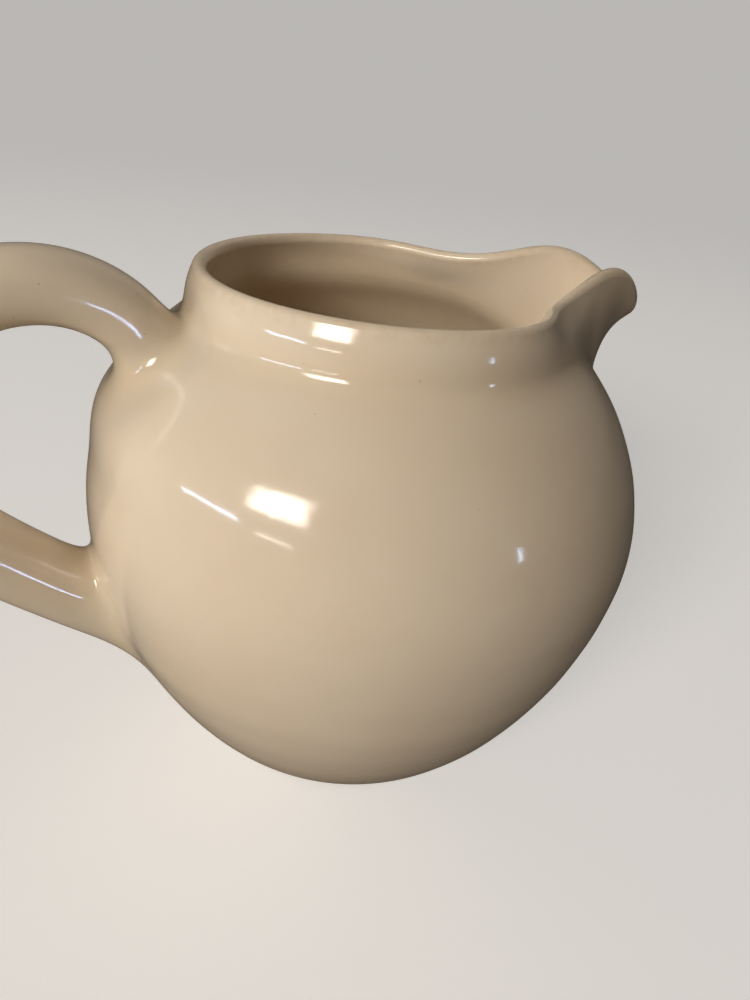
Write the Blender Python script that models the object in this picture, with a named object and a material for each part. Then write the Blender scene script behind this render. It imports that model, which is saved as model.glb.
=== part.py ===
"""A round-bellied ceramic pitcher with a short collar, a pulled spout and a loop handle.

Metres, +Z up. The origin is the centre of the flat foot, the spout points along +X and the
handle along -X. The pieces are the ones a potter joins with slip: a foot disc, a thrown belly,
a collar, a spout, a handle, and the pads of clay worked round the handle's two roots.
"""

import math

import bmesh
import bpy
import numpy as np

# Belly and shoulder
BELLY_RADIUS = 0.0750
BELLY_HEIGHT = 0.0790
FOOT_RADIUS = 0.0375
LOWER_POWER = 1.77
SHOULDER_POWER = 1.90
WALL = 0.0040

# Collar: it rises from the crease where the shoulder ends
CREASE_RADIUS = 0.0495
CREASE_HEIGHT = 0.1275
CREASE_FILLET = 0.0030
RIM_RADIUS = 0.0474
RIM_HEIGHT = 0.1386
RIM_WALL = 0.0034
TIP_WALL = 0.0046
# How the collar leaves the crease and reaches its rim, as radius and height of the curve's pull
COLLAR_UPRIGHT = (0.00020, 0.0036)
COLLAR_LEAN = (0.0021, -0.0042)
# The share of the spout's reach at which the collar's own curve has gone
COLLAR_ENDS = 0.30

# A soft swelling of the shoulder round the handle's upper root
SWELL = 0.0040
SWELL_HEIGHT = 0.1090
SWELL_RISE = 0.0120
SWELL_SPREAD = 0.80

# Spout: angles in radians either side of +X. The bends are shares of the wall's reach and rise
SPOUT_REACH = 0.0312
SPOUT_SPREAD = 0.205
SPOUT_POWER = 1.35
SPOUT_TIP_ROUND = 0.080
SPOUT_FILLET = 0.0040
PINCH_DEPTH = 0.0044
PINCH_ANGLE = 0.76
PINCH_SPREAD = 0.34
WING_RISE = 0.0100
WING_SPREAD = 0.32
TIP_DROOP = 0.0200
TIP_SPREAD = 0.15
THROAT_DROP = 0.0180
THROAT_SPREAD = 0.36
THROAT_BEND = (-0.10, 0.17)
LIP_BEND = (0.10, -0.28)
SEAM_ANGLE = 0.80

# Foot disc: a flange under the wall and a spigot inside it
FLANGE_TOP = 0.0022
FLOOR_HEIGHT = 0.0075
SPIGOT_RADIUS = 0.0370
FOOT_CHAMFER = 0.0007

# Handle: centreline in the XZ plane, distance from the axis and height
HANDLE_TOP = (0.0630, 0.1288)
HANDLE_TOP_ANGLE = math.radians(42)
HANDLE_OUT = (0.1150, 0.1040)
HANDLE_LOW = (0.0825, 0.0604)
HANDLE_LOW_ANGLE = math.radians(37)
HANDLE_PULLS = (0.0255, 0.0260, 0.0180, 0.0180)
# Half sizes at the shoulder, at the outermost point and at the lower belly
THICK = (0.0078, 0.0086, 0.0090)
WIDE = (0.0088, 0.0096, 0.0102)

# Pads round the handle's roots: how far each spreads above, beside and below the handle
TOP_PAD_SPREAD = (0.0006, 0.0055, 0.0050)
LOW_PAD_SPREAD = (0.0035, 0.0060, 0.0055)
PAD_EDGE = 0.0006
PAD_RISE = 1.3
ROOT_SEARCH = 0.030

# The slip joint left between two pieces, wider where the upper root nears the crease
GAP = 0.0003
TOP_ROOT_GAP = 0.0007

# Mesh fineness
COLLAR_STEPS = 54
SPOUT_STEPS = 30
OUTLINE_SAMPLES = 160
CORNER_STEPS = 20
HANDLE_SIDES = 24
HANDLE_STEPS = 26
LIP_STEPS = 4

CREAM = (0.80, 0.68, 0.52)


def material(name, colour, roughness):
    """One opaque, non-metallic ceramic finish."""
    made = bpy.data.materials.new(name)
    made.use_nodes = True
    shader = made.node_tree.nodes["Principled BSDF"]
    shader.inputs["Base Color"].default_value = (*colour, 1.0)
    shader.inputs["Roughness"].default_value = roughness
    shader.inputs["Metallic"].default_value = 0.0
    return made


def add_object(name, bm, colour, roughness):
    """Turns a bmesh into a named object, shaded smooth except at its real edges."""
    bmesh.ops.recalc_face_normals(bm, faces=bm.faces)
    mesh = bpy.data.meshes.new(name)
    bm.to_mesh(mesh)
    bm.free()
    mesh.shade_smooth()
    mesh.set_sharp_from_angle(angle=math.radians(40))
    mesh.materials.append(material(name + "_finish", colour, roughness))
    made = bpy.data.objects.new(name, mesh)
    bpy.context.scene.collection.objects.link(made)
    return made


# ---------------------------------------------------------------- the vessel's outer surface


def arc_depth(edge_radius, height, power):
    """Half-height of the superellipse that reaches edge_radius at this height from its middle."""
    return height / (1 - (edge_radius / BELLY_RADIUS) ** power) ** (1 / power)


LOWER_DEPTH = arc_depth(FOOT_RADIUS, BELLY_HEIGHT, LOWER_POWER)
SHOULDER_DEPTH = arc_depth(CREASE_RADIUS, CREASE_HEIGHT - BELLY_HEIGHT, SHOULDER_POWER)


def belly_radius(z):
    """Outer radius of the belly at a height, fuller below than above."""
    z = np.asarray(z, float)
    below = z < BELLY_HEIGHT
    power = np.where(below, LOWER_POWER, SHOULDER_POWER)
    depth = np.where(below, LOWER_DEPTH, SHOULDER_DEPTH)
    rise = np.clip(np.abs(z - BELLY_HEIGHT) / depth, 0, 0.999)
    return BELLY_RADIUS * (1 - rise**power) ** (1 / power)


def swelling(theta, z):
    """How far the shoulder swells outward near the handle's upper root."""
    off = math.pi - np.abs(np.remainder(theta + math.pi, 2 * math.pi) - math.pi)
    rise = (z - SWELL_HEIGHT) / SWELL_RISE
    return SWELL * np.exp(-((off / SWELL_SPREAD) ** 2) - rise**2)


def from_spout(theta):
    """The angle between a direction and the spout's, from 0 to half a turn."""
    return abs(math.remainder(theta, math.tau))


def spout_share(theta):
    """How much of the spout's reach there is at an angle: 1 at its middle, 0 away from it."""
    off = math.hypot(from_spout(theta), SPOUT_TIP_ROUND) - SPOUT_TIP_ROUND
    return math.exp(-((off / SPOUT_SPREAD) ** SPOUT_POWER))


def rim_edge(theta):
    """Radius and height of the wall's outer edge, just under the rounded rim."""
    off = from_spout(theta)
    pinch = math.exp(-(((off - PINCH_ANGLE) / PINCH_SPREAD) ** 2))
    radius = RIM_RADIUS + SPOUT_REACH * spout_share(theta) - PINCH_DEPTH * pinch
    wing = WING_RISE * math.exp(-((off / WING_SPREAD) ** 2))
    droop = TIP_DROOP * math.exp(-((off / TIP_SPREAD) ** 2))
    return np.array([radius, RIM_HEIGHT + wing - droop])


def bezier(points, steps):
    """Points along the Bezier curve that has these control points."""
    t = np.linspace(0, 1, steps)[:, None]
    points = [np.asarray(p, float)[None, :] for p in points]
    while len(points) > 1:
        points = [a * (1 - t) + b * t for a, b in zip(points, points[1:])]
    return points[0]


def lengths(line):
    """Distance along a line of points, from its start."""
    steps = np.linalg.norm(np.diff(line, axis=0), axis=1)
    return np.concatenate([[0.0], np.cumsum(steps)])


def along(line, at):
    """Points at given distances along a line of points."""
    run = lengths(line)
    return np.stack([np.interp(at, run, line[:, k]) for k in range(line.shape[1])], -1)


def smooth_step(x):
    """Rises smoothly from 0 to 1 as x does."""
    x = min(max(x, 0.0), 1.0)
    return x * x * (3 - 2 * x)


def meridian(theta):
    """The outer outline at one angle, as (radius, height), and the distance to its joint.

    The belly's curve ends at a root on the shoulder, the collar or spout wall starts there,
    and a fillet rounds the corner. The joint between the pieces is the fillet's middle.
    """
    share = spout_share(theta)
    drop = THROAT_DROP * math.exp(-((from_spout(theta) / THROAT_SPREAD) ** 2))
    heights = np.linspace(FLANGE_TOP + GAP, CREASE_HEIGHT - drop, OUTLINE_SAMPLES)
    belly = np.stack([belly_radius(heights) + swelling(theta, heights), heights], 1)
    root = belly[-1]
    edge = rim_edge(theta)
    out, up = edge - root
    pulled = smooth_step(share / COLLAR_ENDS)
    low_pull = (1 / 3 + share * np.array(THROAT_BEND)) * (out, up)
    high_pull = (1 / 3 + share * np.array(LIP_BEND)) * (out, up)
    lower = root + pulled * low_pull + (1 - pulled) * np.array(COLLAR_UPRIGHT)
    upper = edge - pulled * high_pull + (1 - pulled) * np.array(COLLAR_LEAN)
    wall = bezier([root, lower, upper, edge], OUTLINE_SAMPLES)
    reach = CREASE_FILLET + SPOUT_FILLET * share
    before = lengths(belly)[-1] - reach
    start = along(belly, np.array([before]))[0]
    end = along(wall, np.array([reach]))[0]
    corner = bezier([start, root, end], CORNER_STEPS + 1)
    rest = along(wall, np.linspace(reach, lengths(wall)[-1], OUTLINE_SAMPLES))
    below = along(belly, np.linspace(0, before, OUTLINE_SAMPLES))
    line = np.concatenate([below, corner[1:], rest[1:]])
    return line, lengths(line)[OUTLINE_SAMPLES - 1 + CORNER_STEPS // 2]


def meridian_rows(theta, rows, above):
    """Points on the outline at one angle, from the joint up to the rim or down to the foot."""
    line, joint = meridian(theta)
    end = lengths(line)[-1] if above else 0.0
    start = joint + (GAP / 2 if above else -GAP / 2)
    flat = along(line, start + (end - start) * rows)
    return np.stack(
        [flat[:, 0] * math.cos(theta), flat[:, 0] * math.sin(theta), flat[:, 1]], 1
    )


def unit(vectors):
    """Vectors of the same directions and length 1."""
    return vectors / np.linalg.norm(vectors, axis=-1, keepdims=True)


def sheet(angles, rows, above):
    """Outer points, outward normals and rising tangents of the wall at these angles and rows."""
    turn = 1e-4
    points = np.array([meridian_rows(a, rows, above) for a in angles])
    ahead = np.array([meridian_rows(a + turn, rows, above) for a in angles])
    behind = np.array([meridian_rows(a - turn, rows, above) for a in angles])
    rise = np.gradient(points, rows, axis=1) * (1 if above else -1)
    return points, unit(np.cross(ahead - behind, rise)), unit(rise)


def edge_angles(low, high, steps):
    """Angles that divide the rim between two angles into equal lengths."""
    fine = np.linspace(low, high, 400)
    rim = np.array([rim_edge(a) for a in fine])
    line = np.stack([rim[:, 0] * np.cos(fine), rim[:, 0] * np.sin(fine), rim[:, 1]], 1)
    run = lengths(line)
    return np.interp(np.linspace(0, run[-1], steps + 1), run, fine)


def spout_angles():
    """Angles of the spout's columns, from one seam to the other."""
    return edge_angles(-SEAM_ANGLE, SEAM_ANGLE, SPOUT_STEPS)


def collar_angles():
    """Angles of the collar's columns, round the rest of the rim."""
    return edge_angles(SEAM_ANGLE, 2 * math.pi - SEAM_ANGLE, COLLAR_STEPS)


# ---------------------------------------------------------------- building solids


def loft(loops, ring):
    """A solid skinned over matching closed loops, which meet round a ring or end in caps."""
    bm = bmesh.new()
    made = [[bm.verts.new(p) for p in loop] for loop in loops]
    pairs = list(zip(made, made[1:] + made[:1])) if ring else list(zip(made, made[1:]))
    for one, two in pairs:
        for k in range(len(one)):
            n = (k + 1) % len(one)
            bm.faces.new((one[k], one[n], two[n], two[k]))
    return bm, made


def cap_wall(bm, loop, rows):
    """Closes a cut wall: quads across its thickness and one face for the rounded rim."""
    inner = loop[::-1]
    for k in range(rows - 1):
        bm.faces.new((loop[k], loop[k + 1], inner[k + 1], inner[k]))
    bm.faces.new(loop[rows - 1 : len(loop) - rows + 1])


def rim_wall(angles, rows):
    """Loops of a wall that stands on the joint and ends in a rounded rim."""
    points, normals, rise = sheet(angles, rows, above=True)
    shares = np.array([spout_share(a) for a in angles])[:, None]
    tip = RIM_WALL + (TIP_WALL - RIM_WALL) * shares
    thickness = (RIM_WALL + (tip - RIM_WALL) * rows)[..., None]
    inner = points - normals * thickness
    middle = (points[:, -1] + inner[:, -1]) / 2
    turns = np.linspace(0, math.pi, LIP_STEPS + 1)[1:-1]
    lip = [
        middle
        + (normals[:, -1] * math.cos(a) + rise[:, -1] * math.sin(a)) * thickness[:, -1] / 2
        for a in turns
    ]
    return np.concatenate([points, np.stack(lip, 1), inner[:, ::-1]], axis=1)


def make_foot_disc():
    """The floor: a flange that the belly stands on, with a spigot that fits inside it."""
    heights = (FOOT_CHAMFER, FLANGE_TOP / 2, FLANGE_TOP)
    side = [(float(belly_radius(z)), z) for z in heights]
    outline = [(0, 0), (FOOT_RADIUS - FOOT_CHAMFER, 0), *side]
    outline += [(SPIGOT_RADIUS, FLANGE_TOP), (SPIGOT_RADIUS, FLOOR_HEIGHT), (0, FLOOR_HEIGHT)]
    bm = bmesh.new()
    points = [bm.verts.new((r, 0, z)) for r, z in outline]
    edges = [bm.edges.new(pair) for pair in zip(points, points[1:])]
    bmesh.ops.spin(
        bm, geom=points + edges, cent=(0, 0, 0), axis=(0, 0, 1), angle=2 * math.pi, steps=64
    )
    bmesh.ops.remove_doubles(bm, verts=bm.verts, dist=1e-6)
    add_object("foot_disc", bm, (0.72, 0.62, 0.50), 0.75)


def make_belly():
    """The thrown pot below the joint, open at the bottom where the foot disc closes it."""
    angles = np.concatenate([spout_angles(), collar_angles()[1:-1]])
    rows = np.linspace(1, 0, 15)
    points, normals, _ = sheet(angles, rows, above=False)
    thickness = np.linspace(WALL, RIM_WALL, len(rows))[:, None]
    inner = (points - normals * thickness)[:, :0:-1]
    ring = np.stack([np.cos(angles), np.sin(angles), np.zeros_like(angles)], 1)
    bore = ring * (SPIGOT_RADIUS + GAP)
    up = np.array([0, 0, 1.0])
    foot = np.stack([bore + up * FLOOR_HEIGHT, bore + up * (FLANGE_TOP + GAP)], 1)
    bm, _ = loft(np.concatenate([points, inner, foot], axis=1), ring=True)
    add_object("belly", bm, CREAM, 0.18)


def make_rim_piece(name, angles, rows):
    """A piece of the rim wall that is cut square at both ends."""
    bm, loops = loft(rim_wall(angles, rows), ring=False)
    cap_wall(bm, loops[0], len(rows))
    cap_wall(bm, loops[-1], len(rows))
    add_object(name, bm, CREAM, 0.18)


def make_collar():
    """The upright neck, which runs round from one side of the spout to the other."""
    angles = collar_angles()
    shift = GAP / 2 / RIM_RADIUS
    angles[0] += shift
    angles[-1] -= shift
    make_rim_piece("collar", angles, np.linspace(0, 1, 5))


def make_spout():
    """The pouring lip, folded out between two pinches and drooping at its tip."""
    angles = spout_angles()
    shift = GAP / 2 / RIM_RADIUS
    angles[0] += shift
    angles[-1] -= shift
    make_rim_piece("spout", angles, np.linspace(0, 1, 8))


# ---------------------------------------------------------------- the handle and its pads


def handle_line():
    """The handle's centreline in the XZ plane, from the shoulder round to the lower belly."""
    top, out, low = (np.array(p) for p in (HANDLE_TOP, HANDLE_OUT, HANDLE_LOW))
    leave = np.array([math.cos(HANDLE_TOP_ANGLE), math.sin(HANDLE_TOP_ANGLE)])
    arrive = np.array([math.cos(HANDLE_LOW_ANGLE), math.sin(HANDLE_LOW_ANGLE)])
    down = np.array([0.0, -1.0])
    a, b, c, d = HANDLE_PULLS
    first = bezier([top, top + leave * a, out - down * b, out], 200)
    second = bezier([out, out + down * c, low + arrive * d, low], 200)
    line = np.concatenate([first, second[1:]])
    flat = along(line, np.linspace(0, lengths(line)[-1], HANDLE_STEPS + 1))
    return np.stack([-flat[:, 0], np.zeros(len(flat)), flat[:, 1]], 1)


def size_along(sizes, share):
    """A handle size at a share of the way down, on a curve through its three given values."""
    top, middle, low = sizes
    return (
        top * (1 - share) * (1 - 2 * share)
        + middle * 4 * share * (1 - share)
        + low * share * (2 * share - 1)
    )


def section(centre, ahead, thick, wide):
    """A ring of points round the centreline: thick in the handle's plane, wide across it."""
    across = np.array([0.0, 1.0, 0.0])
    up = np.cross(ahead, across)
    turns = np.linspace(0, 2 * math.pi, HANDLE_SIDES, endpoint=False)[:, None]
    return centre + up * np.cos(turns) * thick + across * np.sin(turns) * wide


def clearance(points):
    """Distance of points outside the vessel, measured square to its outline at the handle."""
    line, _ = meridian(math.pi)
    x, y, z = np.moveaxis(points, -1, 0)
    surface = np.interp(z, line[:, 1], line[:, 0])
    surface += swelling(np.arctan2(y, x), z) - swelling(math.pi, z)
    slope = np.interp(z, line[:, 1], np.gradient(line[:, 0], line[:, 1]))
    return (np.hypot(x, y) - surface) / np.hypot(1, slope)


def onto_vessel(points, inward, lift):
    """Moves points along the root's direction until they are lift away from the vessel."""
    near = np.full(points.shape[:-1], -ROOT_SEARCH)
    far = np.full(points.shape[:-1], ROOT_SEARCH)
    for _ in range(40):
        middle = (near + far) / 2
        outside = clearance(points + middle[..., None] * inward) > lift
        near = np.where(outside, middle, near)
        far = np.where(outside, far, middle)
    return points + near[..., None] * inward


def make_handle():
    """The pulled handle. Its ends are shaped to the vessel and stop a slip joint short of it."""
    line = handle_line()
    ahead = unit(np.gradient(line, axis=0))
    share = np.linspace(0, 1, len(line))
    thick, wide = size_along(THICK, share), size_along(WIDE, share)
    rings = [section(*part) for part in zip(line, ahead, thick, wide)]
    bm = bmesh.new()
    loops = [end_rings(line[0], -ahead[0], rings[0], TOP_ROOT_GAP)[::-1]]
    loops += [[ring] for ring in rings]
    loops += [end_rings(line[-1], ahead[-1], rings[-1], GAP)]
    made = [[bm.verts.new(p) for p in ring] for group in loops for ring in group]
    for one, two in zip(made, made[1:]):
        for k in range(HANDLE_SIDES):
            n = (k + 1) % HANDLE_SIDES
            bm.faces.new((one[k], one[n], two[n], two[k]))
    bm.faces.new(made[0])
    bm.faces.new(made[-1])
    add_object("handle", bm, CREAM, 0.18)


def end_rings(centre, inward, ring, gap):
    """The rings of a root: its outer edge on the vessel, then smaller ones across its face."""
    shares = (1.0, 0.75, 0.5, 0.25)
    return [onto_vessel(centre + (ring - centre) * s, inward, gap) for s in shares]


def pad_spread(spread, turns):
    """How far a pad spreads at each turn round the handle, from above, beside and below."""
    above, beside, below = spread
    side = np.abs(np.sin(turns)) ** 2
    return beside * side + np.where(np.cos(turns) > 0, above, below) * (1 - side)


def make_pad(name, centre, inward, thick, wide, spread, gap):
    """A ring of clay worked into the corner between a handle root and the vessel."""
    turns = np.linspace(0, 2 * math.pi, HANDLE_SIDES, endpoint=False)
    reach = pad_spread(spread, turns)[:, None]
    snug = section(centre, inward, thick + GAP, wide + GAP)
    proud = section(centre, inward, thick + GAP + PAD_EDGE, wide + GAP + PAD_EDGE)
    out = unit(proud - centre)
    seat = gap + PAD_EDGE
    corner = onto_vessel(proud, inward, seat)
    room = np.linalg.norm(corner - proud, axis=1)[:, None]
    climb = np.minimum(PAD_RISE * reach + PAD_EDGE, room)
    top = corner - inward * climb
    foot = onto_vessel(proud + out * reach, inward, seat)
    fillet = np.array([bezier([a, b, c], 6) for a, b, c in zip(top, corner, foot)])
    shares = (1.0, 0.5, 0.0)
    under = [onto_vessel(snug + out * (reach + PAD_EDGE) * s, inward, gap) for s in shares]
    inside = top - out * PAD_EDGE
    loops = np.concatenate([fillet, np.stack(under, 1), inside[:, None]], axis=1)
    bm, _ = loft(loops, ring=True)
    add_object(name, bm, CREAM, 0.18)


def make_handle_pads():
    """The pads at the shoulder and on the lower belly."""
    line = handle_line()
    ahead = unit(np.gradient(line, axis=0))
    upper = (line[0], -ahead[0], THICK[0], WIDE[0], TOP_PAD_SPREAD, TOP_ROOT_GAP)
    lower = (line[-1], ahead[-1], THICK[2], WIDE[2], LOW_PAD_SPREAD, GAP)
    make_pad("upper_handle_pad", *upper)
    make_pad("lower_handle_pad", *lower)


def clear_scene():
    """Removes whatever the new file starts with."""
    for old in list(bpy.data.objects):
        bpy.data.objects.remove(old, do_unlink=True)


def main():
    clear_scene()
    make_foot_disc()
    make_belly()
    make_collar()
    make_spout()
    make_handle()
    make_handle_pads()


main()
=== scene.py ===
"""The looks of a cream glazed pitcher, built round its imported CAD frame.

Each piece is a closed mesh that stands for one CAD node. The pieces share one outer skin: the
vessel's outline, turned about Z and pulled into a spout, with the handle's tube melted into it
at both roots. Neighbouring pieces take their points and normals from the same formulas, so the
glaze runs on across the joints. Metres, +Z up, spout along +X, handle along -X.
"""

import math

import bpy
import numpy as np
from mathutils import Matrix, Vector


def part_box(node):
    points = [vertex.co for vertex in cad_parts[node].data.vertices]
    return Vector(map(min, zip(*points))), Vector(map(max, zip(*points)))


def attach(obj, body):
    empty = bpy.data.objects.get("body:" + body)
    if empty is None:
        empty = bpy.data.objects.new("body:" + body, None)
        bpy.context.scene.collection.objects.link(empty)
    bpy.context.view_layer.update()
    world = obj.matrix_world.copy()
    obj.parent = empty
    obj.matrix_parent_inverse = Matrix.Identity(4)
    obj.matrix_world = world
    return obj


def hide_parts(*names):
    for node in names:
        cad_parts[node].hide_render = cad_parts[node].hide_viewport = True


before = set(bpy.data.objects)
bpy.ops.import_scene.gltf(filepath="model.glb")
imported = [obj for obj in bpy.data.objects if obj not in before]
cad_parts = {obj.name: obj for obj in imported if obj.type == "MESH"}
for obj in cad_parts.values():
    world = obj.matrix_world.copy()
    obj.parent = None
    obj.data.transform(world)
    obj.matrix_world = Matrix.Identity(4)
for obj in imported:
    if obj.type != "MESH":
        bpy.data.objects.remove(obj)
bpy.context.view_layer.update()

MM = 0.001

# Driving sizes, read from the frame
BELLY_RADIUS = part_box("belly")[1].y
GLAZE_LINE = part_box("belly")[0].z
FLOOR_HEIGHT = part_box("foot_disc")[1].z
RIM_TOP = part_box("collar")[1].z
SPOUT_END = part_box("spout")[1].x
HANDLE_END = -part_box("handle")[0].x

# Belly outline: two superellipse arcs that meet at the equator
EQUATOR = 79.0 * MM
FOOT_RADIUS = BELLY_RADIUS / 2
LOWER_POWER = 1.77
SHOULDER_POWER = 1.90
BELLY_SOFTNESS = 5.0 * MM
WALL = 4.0 * MM
SKIN_INSET = 0.15 * MM

# Collar and its crease with the shoulder
CREASE_RADIUS = 49.5 * MM
CREASE_HEIGHT = 127.5 * MM
CREASE_SOFTNESS = 2.2 * MM
SPOUT_SOFTNESS = 1.6 * MM
RIM_RADIUS = 47.4 * MM
RIM_WALL = 3.4 * MM
TIP_WALL = 4.6 * MM
# The wall's outer edge is lower than the top of the rounded rim
RIM_HEIGHT = RIM_TOP - 0.4 * RIM_WALL

# The shoulder's soft swelling round the handle's upper root
SWELL = 4.0 * MM
SWELL_HEIGHT = 109.0 * MM
SWELL_RISE = 12.0 * MM
SWELL_SPREAD = 0.80

# Spout, with angles in radians either side of +X. Its rounded lip reaches past the wall's edge.
# The bends are shares of the wall's reach and rise
LIP_REACH = 1.2 * MM
SPOUT_REACH = SPOUT_END - RIM_RADIUS - LIP_REACH
SPOUT_SPREAD = 0.205
SPOUT_POWER = 1.35
SPOUT_TIP_ROUND = 0.080
PINCH_DEPTH = 4.4 * MM
PINCH_ANGLE = 0.76
PINCH_SPREAD = 0.34
WING_RISE = 10.0 * MM
WING_SPREAD = 0.32
TIP_DROOP = 20.0 * MM
TIP_SPREAD = 0.15
THROAT_DROP = 18.0 * MM
THROAT_SPREAD = 0.36
THROAT_BEND = (-0.10, 0.17)
LIP_BEND = (0.10, -0.28)
SEAM_ANGLE = 0.80

# The collar rises upright from the crease and leans in towards its rim: the two pulls of its
# curve, as radius and height. They end where the spout has this share of its reach
COLLAR_UPRIGHT = (0.2 * MM, 3.6 * MM)
COLLAR_LEAN = (2.1 * MM, -4.2 * MM)
COLLAR_ENDS = 0.30

# Foot: a bare clay disc under the glazed belly, hollowed inside a ring
SPIGOT_RADIUS = 37.0 * MM
FOOT_ROUND = 0.8 * MM
FOOT_RING = 3.0 * MM
BASE_HOLLOW = 0.5 * MM
# Grooves left by turning: their depth, and the distance in which their wave gains a radian
GROOVE_DEPTH = 0.1 * MM
GROOVE_RADIAN = 0.45 * MM
# Rings round the axis stop short of it by this, and a flat cap fills the rest
AXIS_GAP = 1.0 * MM
GLAZE_BEAD = 0.5 * MM
BEAD_INSET = 1.6 * GLAZE_BEAD

# The pot's floor inside: glaze on the foot disc's spigot, coved up into the wall
FLOOR_SKIN = 0.8 * MM
FLOOR_COVE = 3.0 * MM
COVE_TOP = 40.0 * MM
COVE_BLEND = 15.0 * MM

# How far the glaze pools, with shade painted into it, from the crease, and runs thin from the rim
CREASE_POOL_AND_SHADE = 4.0 * MM
THIN_EDGE = 3.0 * MM

# Handle: half sizes in its own plane and across it, at the shoulder, at its outermost point
# and at the lower belly, then two Bezier curves as (radius, height)
THICK = (7.8 * MM, 8.6 * MM, 9.0 * MM)
WIDE = (8.8 * MM, 9.6 * MM, 10.2 * MM)
SECTION_POWER = 2.3
HANDLE_TOP = (63.0 * MM, 128.8 * MM)
HANDLE_TOP_ANGLE = math.radians(42)
HANDLE_INSET = 0.3 * MM
HANDLE_OUT = (HANDLE_END - THICK[1] - HANDLE_INSET, 104.0 * MM)
HANDLE_LOW = (82.5 * MM, 60.4 * MM)
HANDLE_LOW_ANGLE = math.radians(37)
HANDLE_PULLS = (25.5 * MM, 26.0 * MM, 18.0 * MM, 18.0 * MM)

# How far from the corner each root melts: on the loop's outer side, beside it and on its inner side
UPPER_MELT = (8.0 * MM, 12.0 * MM, 17.0 * MM)
LOWER_MELT = (9.0 * MM, 12.0 * MM, 9.0 * MM)
# A pad covers this share of the melt, within this reach of the corner. Its back is sunk this far
MELT_CUT = 0.92
PAD_REACH = 28.0 * MM
PAD_SINK = 0.25 * MM
# The melted skin lies this near to the middle of its root
ROOT_SPAN = 45.0 * MM

# Mesh fineness
SPOUT_COLUMNS = 110
COLLAR_COLUMNS = 190
BELLY_ROWS = 112
RIM_ROWS = 22
LIP_ROWS = 15
INNER_ROWS = 84
OUTLINE_SAMPLES = 1400
HANDLE_COLUMNS = 84
HANDLE_ROWS = 220
PAD_ROWS = 26

# The studio's tones, as red, green and blue, and where the floor fades into the backdrop
FLOOR_GLOW = (0.43, 0.425, 0.42)
BACKDROP = (0.490, 0.475, 0.460)
FLOOR_FADE = (0.4, 1.6)

# Every visible piece, in the order in which they are made
PIECES = []


# ---------------------------------------------------------------- curves


def unit(vectors):
    """Vectors of the same directions and length 1."""
    return vectors / np.linalg.norm(vectors, axis=-1, keepdims=True)


def bezier(points, t):
    """Points along the Bezier curve that has these control points."""
    t = np.asarray(t, float)[:, None]
    points = [np.asarray(p, float)[None, :] for p in points]
    while len(points) > 1:
        points = [a * (1 - t) + b * t for a, b in zip(points, points[1:])]
    return points[0]


def lengths(line):
    """Distance along a line of points, from its start."""
    steps = np.linalg.norm(np.diff(line, axis=0), axis=1)
    return np.concatenate([[0.0], np.cumsum(steps)])


def along(line, at):
    """Points at given distances along a line of points."""
    run = lengths(line)
    return np.stack([np.interp(at, run, line[:, k]) for k in range(line.shape[1])], -1)


def soften(line, spacing, width):
    """Rounds an evenly spaced line with a Gaussian, without moving its ends."""
    reach = int(math.ceil(3 * width / spacing))
    kernel = np.exp(-0.5 * (np.arange(-reach, reach + 1) * spacing / width) ** 2)
    kernel /= kernel.sum()
    before = 2 * line[0] - line[reach:0:-1]
    after = 2 * line[-1] - line[-2 : -reach - 2 : -1]
    longer = np.concatenate([before, line, after])
    return np.stack([np.convolve(column, kernel, "valid") for column in longer.T], -1)


def smooth_step(x):
    """Rises from 0 to 1 as x does, with no sudden change of slope."""
    x = np.clip(x, 0, 1)
    return x * x * x * (x * (6 * x - 15) + 10)


# ---------------------------------------------------------------- the vessel's outer skin


def arc_depth(edge_radius, height, power):
    """Half-height of the superellipse that reaches edge_radius at this height from its middle."""
    return height / (1 - (edge_radius / BELLY_RADIUS) ** power) ** (1 / power)


LOWER_DEPTH = arc_depth(FOOT_RADIUS, EQUATOR, LOWER_POWER)
SHOULDER_DEPTH = arc_depth(CREASE_RADIUS, CREASE_HEIGHT - EQUATOR, SHOULDER_POWER)


def belly_radius(z):
    """Outer radius of the belly at a height, fuller below than above."""
    z = np.asarray(z, float)
    below = z < EQUATOR
    power = np.where(below, LOWER_POWER, SHOULDER_POWER)
    depth = np.where(below, LOWER_DEPTH, SHOULDER_DEPTH)
    rise = np.clip(np.abs(z - EQUATOR) / depth, 0, 0.999)
    return (BELLY_RADIUS - SKIN_INSET) * (1 - rise**power) ** (1 / power)


def swelling(theta, z):
    """How far the shoulder swells outward near the handle's upper root."""
    off = math.pi - np.abs(np.remainder(theta + math.pi, 2 * math.pi) - math.pi)
    return SWELL * np.exp(-((off / SWELL_SPREAD) ** 2) - ((z - SWELL_HEIGHT) / SWELL_RISE) ** 2)


def from_spout(theta):
    """The angle between a direction and the spout's, from 0 to half a turn."""
    return abs(math.remainder(theta, math.tau))


def spout_share(theta):
    """How much of the spout's reach there is at an angle: 1 at its middle, 0 away from it."""
    off = math.hypot(from_spout(theta), SPOUT_TIP_ROUND) - SPOUT_TIP_ROUND
    return math.exp(-((off / SPOUT_SPREAD) ** SPOUT_POWER))


def rim_edge(theta):
    """Radius and height of the wall's outer edge, just under the rounded rim."""
    off = from_spout(theta)
    pinch = math.exp(-(((off - PINCH_ANGLE) / PINCH_SPREAD) ** 2))
    radius = RIM_RADIUS + SPOUT_REACH * spout_share(theta) - PINCH_DEPTH * pinch
    wing = WING_RISE * math.exp(-((off / WING_SPREAD) ** 2))
    droop = TIP_DROOP * math.exp(-((off / TIP_SPREAD) ** 2))
    return np.array([radius, RIM_HEIGHT + wing - droop])


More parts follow.
